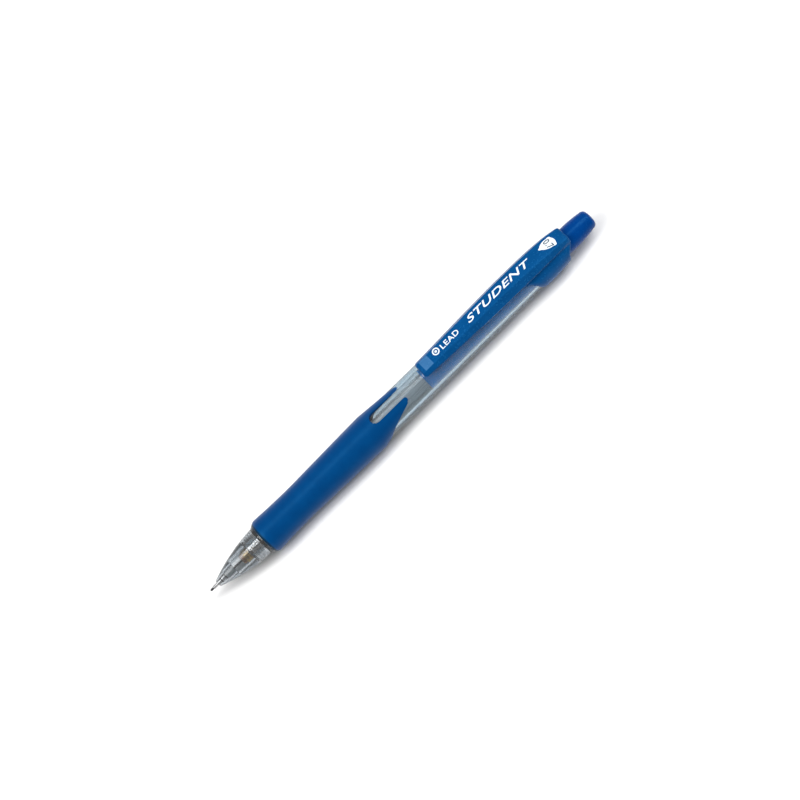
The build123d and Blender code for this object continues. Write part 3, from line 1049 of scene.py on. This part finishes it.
def bar_section(station):
    """Right half of the clip's outside at this station, as (across, up) points from the middle of its face to
    its foot, with the numbers of the points at its lower edge."""
    tip = min(1.0, max(0.0, (station - CLIP_TIP) / 0.9))
    shrink = math.sqrt(max(0.0, 1 - (1 - tip) ** 2)) if tip < 1 else 1.0
    low = EDGE_HEIGHT(station)
    high = low + (FACE_HEIGHT(station) - low) * (0.35 + 0.65 * shrink)
    width = 0.72 + 0.28 * shrink
    face, edge = FACE_HALF(station) * width, EDGE_HALF(station) * width
    foot_up = math.sqrt(barrel_radius(station) ** 2 - FOOT_HALF**2)
    corners = [
        (0.0, high + FACE_CROWN),
        (face, high, 0.22),
        (edge, low, 0.2),
        (FOOT_HALF, foot_up),
    ]
    points = [(face * 0.9 * n / 8, high + FACE_CROWN * (1 - (0.9 * n / 8) ** 2)) for n in range(8)]
    previous = points[-1]
    for n in (1, 2):
        here = Vector(corners[n][:2])
        after = Vector(corners[n + 1][:2])
        back = Vector(previous) - here
        on = after - here
        reach = min(corners[n][2], 0.45 * back.length, 0.45 * on.length)
        start, end = here + back.normalized() * reach, here + on.normalized() * reach
        straight = 5 if n == 2 else 1
        for k in range(1, straight):
            points.append(tuple(Vector(previous).lerp(start, k / straight)))
        for k in range(6):
            t = k / 5
            points.append(tuple(start * (1 - t) ** 2 + here * 2 * t * (1 - t) + end * t * t))
        previous = points[-1]
    edge_at = len(points) - 3
    foot = Vector(corners[3][:2])
    for k in range(1, 7):
        points.append(tuple(Vector(previous).lerp(foot, k / 6)))
    return points, edge_at


PAD_FOOT = 5.0


def pad_depth(station, across, underside):
    """How far the rounded pad stands out below the underside of the clip's arm."""
    along = smooth(1.2 - abs(station - 86.1) / 1.7)
    return (underside - PAD_FOOT) * along * smooth(1.5 - abs(across) / 1.1)


def pad_reflection_patch(centre):
    """Whether this point of the skin is in the painted reflection over the pad, a paler patch of the face."""
    station, across, up = (centre.x - TIP_X) / MM, centre.y / MM, (centre.z - AXIS_Z) / MM
    if not 84.1 < station < 87.1:
        return False
    return up > FACE_HEIGHT(station) - 0.1 and abs(across) < FACE_HALF(station) - 0.12


def make_clip_and_collar():
    """The blue upper body in one skin: free arm, web, and the collar round the barrel's rear end."""
    sample, edge_at = bar_section(110.0)
    foot_at = len(sample) - 1
    ring_columns = 44
    last_column = foot_at + ring_columns
    arm_rows = [CLIP_TIP + 0.9 * (n / 8) ** 1.6 for n in range(9)]
    arm_rows += spread(CLIP_TIP + 0.9, CLIP_ROOT, 54)[1:]
    web_end = COLLAR_FRONT(39)
    web_rows = spread(CLIP_ROOT, web_end, 34)[1:]
    collar_steps = 46
    arm_last = len(arm_rows) - 1
    web_last = arm_last + len(web_rows)
    last_row = web_last + collar_steps
    sections = {}

    def section(station):
        key = round(station, 4)
        if key not in sections:
            sections[key] = bar_section(station)[0]
        return sections[key]

    def polar(across, up):
        return math.hypot(across, up), math.degrees(math.atan2(across, up))

    foot_angle = polar(*section(web_end)[foot_at])[1]

    def column_angle(column):
        share = (column - foot_at) / ring_columns
        return foot_angle + (180 - foot_angle) * share**1.15

    def station_of(row, column):
        if row <= arm_last:
            return arm_rows[row]
        if row <= web_last and column <= foot_at:
            return web_rows[row - arm_last - 1]
        u = (row - web_last) / collar_steps
        u -= 0.09 * math.sin(2 * math.pi * u)
        if column <= foot_at:
            angle = polar(*sample[column])[1]
            start = web_end
        else:
            angle = column_angle(column)
            start = COLLAR_FRONT(angle)
        return start + u * (COLLAR_REAR(angle) - start)

    def outside(row, column):
        """(across, up) of the outer skin."""
        station = station_of(row, column)
        if column <= foot_at:
            across, up = section(station)[column]
            radius, angle = polar(across, up)
            start = web_end
        else:
            angle = column_angle(column)
            radius = 0.0
            start = COLLAR_FRONT(angle)
        if row > web_last or (row == web_last and column > foot_at):
            lip = min(1.0, (station - start) / 1.7)
            under = barrel_radius(station) + 0.04
            ring = under + (COLLAR_R(station) - under) * math.sin(lip * math.pi / 2) ** 0.8
            soft = 0.35
            if radius > 0:
                h = max(0.0, 1 - abs(radius - ring) / soft)
                radius = max(radius, ring) + soft * h * h / 4
            else:
                radius = ring
            end = COLLAR_REAR(angle)
            left = (end - station) / 0.8
            if left < 1:
                radius -= 0.55 * (1 - math.sqrt(max(0.0, 1 - (1 - left) ** 2)))
        a = math.radians(angle)
        return radius * math.sin(a), radius * math.cos(a)

    def inside(row, column):
        """(across, up) of the inner skin: the arm's underside, the barrel's surface or the button's bore."""
        station = station_of(row, column)
        if row <= arm_last:
            across, up = section(station)[column]
            _, low = section(station)[edge_at]
            return across * 0.985, low + 0.02 - pad_depth(station, across, low + 0.02)
        if column <= foot_at:
            angle = polar(*section(station)[column])[1]
        else:
            angle = column_angle(column)
        a = math.radians(angle)
        step = smooth((station - 127.9) / 0.5)
        radius = (barrel_radius(station) - 0.02) * (1 - step) + COLLAR_BORE * step
        return radius * math.sin(a), radius * math.cos(a)

    points, index = [], {}

    def vertex(skin, row, column):
        """Number of a point, made when first asked for. Negative columns are the left side."""
        if abs(column) == last_column:
            column = last_column
        key = (skin, row, column)
        if key not in index:
            side = -1 if column < 0 else 1
            shape = {"out": outside, "in": inside, "web": inside}[skin]
            if skin == "web":
                across, up = web_front(abs(column))
            else:
                across, up = shape(row, abs(column))
            index[key] = len(points)
            points.append(place(station_of(row, abs(column)), side * across, up))
        return index[key]

    def web_front(column):
        """The web's front edge on the barrel."""
        angle = math.radians(polar(*section(CLIP_ROOT)[column])[1])
        radius = barrel_radius(CLIP_ROOT) - 0.02
        return radius * math.sin(angle), radius * math.cos(angle)

    faces = []

    def sheet(skins, rows, columns):
        """Quads of one skin over rows and columns. skins gives the skin's name for a row."""
        for row in rows:
            for column in columns:
                faces.append(
                    (
                        vertex(skins(row), row, column),
                        vertex(skins(row), row, column + 1),
                        vertex(skins(row + 1), row + 1, column + 1),
                        vertex(skins(row + 1), row + 1, column),
                    )
                )

    def outer(row):
        return "out"

    def under_arm(row):
        return "in"

    def under_web(row):
        return "web" if row == arm_last else "in"

    arm_columns = range(-edge_at, edge_at)
    sheet(outer, range(arm_last), arm_columns)
    sheet(under_arm, range(arm_last), arm_columns)
    web_columns = range(-foot_at, foot_at)
    sheet(outer, range(arm_last, web_last), web_columns)
    sheet(under_web, range(arm_last, web_last), web_columns)
    ring_all = range(-last_column, last_column)
    sheet(outer, range(web_last, last_row), ring_all)
    sheet(under_web, range(web_last, last_row), ring_all)

    for row in range(arm_last):
        for side in (-1, 1):
            column = side * edge_at
            above = (vertex("out", row, column), vertex("out", row + 1, column))
            faces.append((*above, vertex("in", row + 1, column), vertex("in", row, column)))
    for row in range(arm_last, web_last):
        for side in (-1, 1):
            column = side * foot_at
            faces.append(
                (
                    vertex("out", row, column),
                    vertex("out", row + 1, column),
                    vertex(under_web(row + 1), row + 1, column),
                    vertex(under_web(row), row, column),
                )
            )
    for column in ring_all:
        if column < -foot_at or column >= foot_at:
            faces.append(
                (
                    vertex("out", web_last, column),
                    vertex("out", web_last, column + 1),
                    vertex("in", web_last, column + 1),
                    vertex("in", web_last, column),
                )
            )
        faces.append(
            (
                vertex("out", last_row, column),
                vertex("out", last_row, column + 1),
                vertex("in", last_row, column + 1),
                vertex("in", last_row, column),
            )
        )
    tip = [vertex("out", 0, c) for c in range(-edge_at, edge_at + 1)]
    tip += [vertex("in", 0, c) for c in range(edge_at, -edge_at - 1, -1)]
    faces.append(tuple(tip))
    wall = [vertex("in", arm_last, c) for c in range(-edge_at, edge_at + 1)]
    wall += [vertex("out", arm_last, c) for c in range(edge_at, foot_at + 1)]
    wall += [vertex("web", arm_last, c) for c in range(foot_at, -foot_at - 1, -1)]
    wall += [vertex("out", arm_last, c) for c in range(-foot_at, -edge_at + 1)]
    faces.append(tuple(wall))
    name = "clip_and_collar"
    piece = finish_mesh(name, points, faces, CLIP_BLUE, None)
    outward(name)
    # painted reflection: the faces over the pad take the paler blue
    reflection_faces = [p for p in piece.data.polygons if pad_reflection_patch(p.center)]
    piece.data.materials.append(CLIP_PAD_PAINTED_REFLECTION)
    for face in reflection_faces:
        face.material_index = 1
    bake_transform(piece)
    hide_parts("clip_collar", "clip_arm")


def make_button():
    """Push button with a crowned end, a hollow skirt and three ribs that grip the lead tube."""
    front, rear, outer = extent("button_cap")
    tube = extent("lead_tube")[2]
    outside = [(front, outer - 0.12), (front + 0.12, outer)]
    outside += [(s, outer) for s in spread(front + 0.6, 138.4, 4)]
    outside += arc((138.4, outer), (142.2, 3.27), (144.5, 2.95), 14)
    outside += arc((144.5, 2.95), (145.55, 2.58), (145.95, 1.9), 10)
    outside += arc((145.95, 1.9), (145.99, 1.0), (rear, 0.0), 5)
    roof = 143.5
    inside = rounded([(roof, 0), (roof, tube + 0.35, 0.3), (front, tube + 0.35, 0.2)])

    def ribs(station, radius, angle):
        if abs(radius - tube - 0.35) > 1e-3 or station > roof - 0.4:
            return radius
        return radius - 0.31 * smooth(math.cos(3 * angle) * 6 - 4.6)

    inside[-6:] = [(s, tube + 0.35) for s in spread(roof - 0.6, front, 6)]
    lathe("push_button", outside + inside, BUTTON_BLUE, "button", "button_blue", ["button_cap"], ribs, 144)


# ---------------------------------------------------------------- generic printing on the clip


INK = 0.012  # thickness of a print
WHITE_LIFT = 0.024
DARK_LIFT = 0.042


def clip_face(station, across, lift):
    """Point at this height above the clip's crowned face."""
    up = FACE_HEIGHT(station) + FACE_CROWN * (1 - (across / FACE_HALF(station)) ** 2)
    return place(station, across, up + lift)


def print_on_clip(name, shapes, material, lift):
    """Thin ink from flat shapes, each a list of points (station, across) and faces of their numbers."""
    points, faces = [], []
    for corners, sides in shapes:
        base = len(points)
        points += [clip_face(station, across, lift) for station, across in corners]
        faces += [tuple(base + v for v in side) for side in sides]
    piece = finish_mesh(name, points, faces, material, None)
    piece.data.shade_flat()
    thick = piece.modifiers.new("ink_thickness", "SOLIDIFY")
    thick.thickness = INK * MM
    thick.offset = 0
    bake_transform(piece)
    return piece


def lettering(words, start, end, low, high, slant=0.0, turned=False):
    """Plain block lettering as a flat shape, stretched to fill these stations and widths."""
    curve = bpy.data.curves.new("lettering", "FONT")
    curve.body = words
    curve.offset = 0.012
    curve.space_character = 1.06
    holder = bpy.data.objects.new("lettering", curve)
    bpy.context.scene.collection.objects.link(holder)
    mesh = holder.to_mesh()
    flat = [(v.co.x + slant * v.co.y, v.co.y) for v in mesh.vertices]
    sides = [tuple(p.vertices) for p in mesh.polygons]
    holder.to_mesh_clear()
    bpy.data.objects.remove(holder)
    if turned:
        flat = [(y, -x) for x, y in flat]
    left, right = min(p[0] for p in flat), max(p[0] for p in flat)
    foot, top = min(p[1] for p in flat), max(p[1] for p in flat)
    wide, tall = (end - start) / (right - left), (high - low) / (top - foot)
    return [(start + (x - left) * wide, low + (y - foot) * tall) for x, y in flat], sides


def ring_and_dot(station, across, radius):
    """A circle with a dot in it, like the end of a lead in its jaws."""
    count = 40
    points = []
    for share in (1, 0.66, 0.34):
        for k in range(count):
            turn = 2 * math.pi * k / count
            points.append((station + share * radius * math.cos(turn), across + share * radius * math.sin(turn)))
    sides = [(k, (k + 1) % count, count + (k + 1) % count, count + k) for k in range(count)]
    sides.append(tuple(range(2 * count, 3 * count)))
    return points, sides


def badge_outline():
    """A rounded triangle that points to the clip's tip."""
    corners = [Vector((128.3, 0.6)), Vector((133.8, 1.98)), Vector((133.9, -1.95))]
    bulge = 0.35
    points = []
    for n, here in enumerate(corners):
        before, after = corners[n - 1], corners[(n + 1) % 3]
        start, end = here.lerp(before, 0.22), here.lerp(after, 0.22)
        points += [start * (1 - t) ** 2 + here * 2 * t * (1 - t) + end * t * t for t in spread(0, 1, 9)]
        side_start, side_end = end, after.lerp(here, 0.22)
        across = (side_end - side_start).orthogonal().normalized() * -bulge
        if across.dot(Vector((132.0, 0.2)) - side_start) > 0:
            across = -across
        for t in spread(0, 1, 9)[1:-1]:
            points.append(side_start.lerp(side_end, t) + across * 4 * t * (1 - t))
    middle, count = Vector((131.9, 0.2)), len(points)
    rings = [middle.lerp(p, share) for share in (1, 0.75, 0.5, 0.25) for p in points]
    faces = [
        (start + k, start + (k + 1) % count, start + count + (k + 1) % count, start + count + k)
        for start in range(0, 3 * count, count)
        for k in range(count)
    ]
    faces.append(tuple(range(3 * count, 4 * count)))
    return [tuple(p) for p in rings], faces


def make_prints():
    """Generic white prints in the places and sizes of the pencil's own, and the size of its lead."""
    small = lettering("LEAD", 91.6, 98.0, -0.75, 0.85)
    large = lettering("STUDENT", 101.6, 125.2, -0.95, 1.15, slant=0.3)
    print_on_clip("small_word", [small], WHITE_INK, WHITE_LIFT)
    print_on_clip("small_mark", [ring_and_dot(89.8, 0.35, 1.1)], WHITE_INK, WHITE_LIFT)
    print_on_clip("large_word", [large], WHITE_INK, WHITE_LIFT)
    print_on_clip("size_badge", [badge_outline()], WHITE_INK, WHITE_LIFT)
    size = lettering("0.7", 131.1, 133.1, -1.35, 1.45, turned=True)
    print_on_clip("lead_size", [size], DARK_INK, DARK_LIFT)


# ---------------------------------------------------------------- floor, light and camera


def make_floor():
    """Large pale floor under the pencil."""
    half, z = 1.6, min(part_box(n)[0].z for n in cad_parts) - 0.00002
    count = 8
    step = count + 1
    points = [
        (-half + 2 * half * i / count, -half + 2 * half * k / count, z)
        for i in range(count + 1)
        for k in range(count + 1)
    ]
    faces = [
        (i * step + k, (i + 1) * step + k, (i + 1) * step + k + 1, i * step + k + 1)
        for i in range(count)
        for k in range(count)
    ]
    mesh = bpy.data.meshes.new("floor")
    mesh.from_pydata(points, [], faces)
    floor = bpy.data.objects.new("floor", mesh)
    bpy.context.scene.collection.objects.link(floor)
    f = Finish("floor_paper", Specular_IOR_Level=0.1)
    f.colour(f.noise(60.0, 2.0), (0.86, 0.86, 0.86, 1), (0.88, 0.88, 0.88, 1))
    f.polish(f.noise(30.0, 2.0), 0.75, 0.9)
    mesh.materials.append(f.material)


def area_light(name, where, target, size, size_y, power):
    """Soft rectangular light at a place, aimed at a target, its long side along the pencil."""
    data = bpy.data.lights.new(name, "AREA")
    data.shape = "RECTANGLE"
    data.size, data.size_y = size, size_y
    data.energy = power
    light = bpy.data.objects.new(name, data)
    bpy.context.scene.collection.objects.link(light)
    back = (Vector(where) - Vector(target)).normalized()
    along = Vector((1, 0, 0)) if abs(back.x) < 0.5 else Vector((0, 1, 0))
    side = back.cross(along).normalized()
    along = side.cross(back)
    light.matrix_world = Matrix.Translation(where) @ Matrix((along, side, back)).transposed().to_4x4()
    return light


END_LIGHT_ELEVATION = math.radians(50)
VIEW_ELEVATION = math.radians(65)
TILT = math.radians(44.6)  # turn of the pencil in the picture, from level
FRAME_WIDTH = 219.3 * MM
LENS = 100.0
SENSOR = 36.0
PICTURE = 800

TOWARDS_CAMERA = Vector((0, -math.cos(VIEW_ELEVATION), math.sin(VIEW_ELEVATION)))
ALONG = Vector((1, 0, 0))
ASIDE = TOWARDS_CAMERA.cross(ALONG)


def make_camera():
    """Long lens above the pencil, turned so that it runs from lower left to upper right."""
    right = ALONG * math.cos(TILT) - ASIDE * math.sin(TILT)
    up = ALONG * math.sin(TILT) + ASIDE * math.cos(TILT)
    data = bpy.data.cameras.new("camera")
    data.lens = LENS
    data.sensor_width = SENSOR
    camera = bpy.data.objects.new("camera", data)
    bpy.context.scene.collection.objects.link(camera)
    distance = FRAME_WIDTH / 2 / (SENSOR / 2 / LENS)
    low, high = cad_box
    middle = Vector(((low.x + high.x) / 2, 0, AXIS_Z))
    pixel = FRAME_WIDTH / PICTURE
    aim = middle + up * 3.8 * pixel - right * 0.4 * pixel
    data.clip_start, data.clip_end = 0.01, 10
    axes = Matrix((right, up, TOWARDS_CAMERA)).transposed().to_4x4()
    camera.matrix_world = Matrix.Translation(aim + TOWARDS_CAMERA * distance) @ axes
    bpy.context.scene.camera = camera


def make_light():
    """Bright even surroundings, a soft key strip on the clip's side and a weak fill."""
    world = bpy.data.worlds.new("studio")
    bpy.context.scene.world = world
    world.use_nodes = True
    world.node_tree.nodes["Background"].inputs["Color"].default_value = (1, 1, 1, 1)
    world.node_tree.nodes["Background"].inputs["Strength"].default_value = 0.45
    middle = place(73, 0, 0)
    key_angle = math.radians(30)
    key_from = TOWARDS_CAMERA * math.cos(key_angle) + ASIDE * math.sin(key_angle)
    area_light("key", middle + key_from * 0.6, middle, 0.7, 0.16, 1.3)
    for name, way in (("front_soft_light", -1), ("rear_soft_light", 1)):
        end_from = Vector((way * math.cos(END_LIGHT_ELEVATION), 0, math.sin(END_LIGHT_ELEVATION)))
        area_light(name, middle + end_from * 0.9, middle, 0.5, 0.6, 4.3)
    bpy.context.scene.view_settings.view_transform = "Standard"


make_camera()
make_light()
make_floor()
make_lead()
make_spare_leads()
make_lead_sleeve()
make_retainer()
make_cone()
make_ring()
for jaw_number, jaw_azimuth in enumerate((0, 120, 240), start=1):
    make_jaw(jaw_number, jaw_azimuth)
make_chuck_body()
make_connector()
make_spring()
make_lead_tube()
make_eraser()
make_barrel()
make_barrel_marks()
make_grip()
make_inner_sleeve()
make_clip_and_collar()
make_button()
make_prints()
